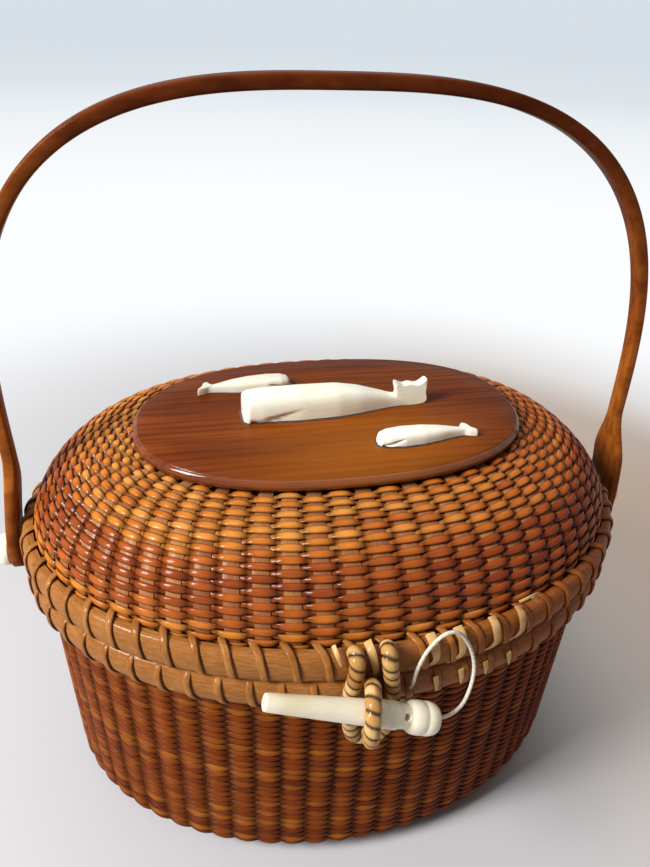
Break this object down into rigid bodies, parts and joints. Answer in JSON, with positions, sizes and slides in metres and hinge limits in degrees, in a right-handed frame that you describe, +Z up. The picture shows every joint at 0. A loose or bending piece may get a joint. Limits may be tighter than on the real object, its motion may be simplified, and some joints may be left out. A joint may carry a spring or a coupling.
{
  "type": "basket purse",
  "caption": "Oval woven purse basket with a domed lid on cane loop hinges, a swinging carved handle, whale ornaments and a hasp closed by a tethered peg.",
  "frame": {"origin": "centre of the base board's underside, on the table", "axes": "+X along the oval to the right when the clasp faces the viewer, -Y towards the clasp, +Z up"},
  "size_m": [0.261, 0.2057, 0.2699],
  "materials": {
    "varnished_weave": "woven cane and staves under glossy amber varnish",
    "rim_cane": "bent cane with satin varnish",
    "wrapped_cane": "cane wrapped round a core, satin",
    "lid_board_wood": "reddish brown board with a glossy varnish",
    "base_wood": "reddish brown board, satin",
    "handle_wood": "carved reddish brown wood, satin varnish",
    "bone": "polished cream bone",
    "tether_fibre": "twisted off-white waxed thread"
  },
  "bodies": {
    "basket": {"base_board": "base_wood", "basket_wall": "varnished_weave", "basket_outer_hoop": "rim_cane", "basket_inner_hoop": "rim_cane", "basket_rim_cap": "rim_cane", "pivot_pin_left": "bone", "pivot_pin_right": "bone", "outer_washer_left": "bone", "outer_washer_right": "bone", "inner_washer_left": "bone", "inner_washer_right": "bone", "front_staple": "wrapped_cane", "hinge_basket_ring_left": "wrapped_cane", "hinge_basket_ring_right": "wrapped_cane", "tether_cord": "tether_fibre"},
    "lid": {"lid_wall": "varnished_weave", "lid_board": "lid_board_wood", "lid_outer_hoop": "rim_cane", "lid_inner_hoop": "rim_cane", "lid_rim_cap": "rim_cane", "whale_large": "bone", "whale_small_left": "bone", "whale_small_right": "bone", "hinge_lid_loop_left": "wrapped_cane", "hinge_lid_loop_right": "wrapped_cane"},
    "handle": {"handle_bail": "handle_wood"},
    "peg": {"peg": "bone"},
    "hasp": {"hasp": "wrapped_cane"}
  },
  "joints": [
    {"name": "handle_swing", "type": "hinge", "parent": "basket", "child": "handle", "pos_m": [0, 0, 0.1065], "axis": [1, 0, 0], "range_deg": [-125, 125]},
    {"name": "lid_hinge", "type": "hinge", "parent": "basket", "child": "lid", "pos_m": [0, 0.09259, 0.102], "axis": [-1, 0, 0], "range_deg": [0, 105]},
    {"name": "hasp_swing", "type": "hinge", "parent": "lid", "child": "hasp", "pos_m": [-0.0064, -0.0887, 0.12745], "axis": [-1, 0, 0], "range_deg": [0, 110], "deforming": ["hasp"]},
    {"name": "peg_slide", "type": "slide", "parent": "basket", "child": "peg", "axis": [0.9361, 0, -0.3518], "range_m": [0, 0.048], "deforming": ["tether_cord"]}
  ]
}
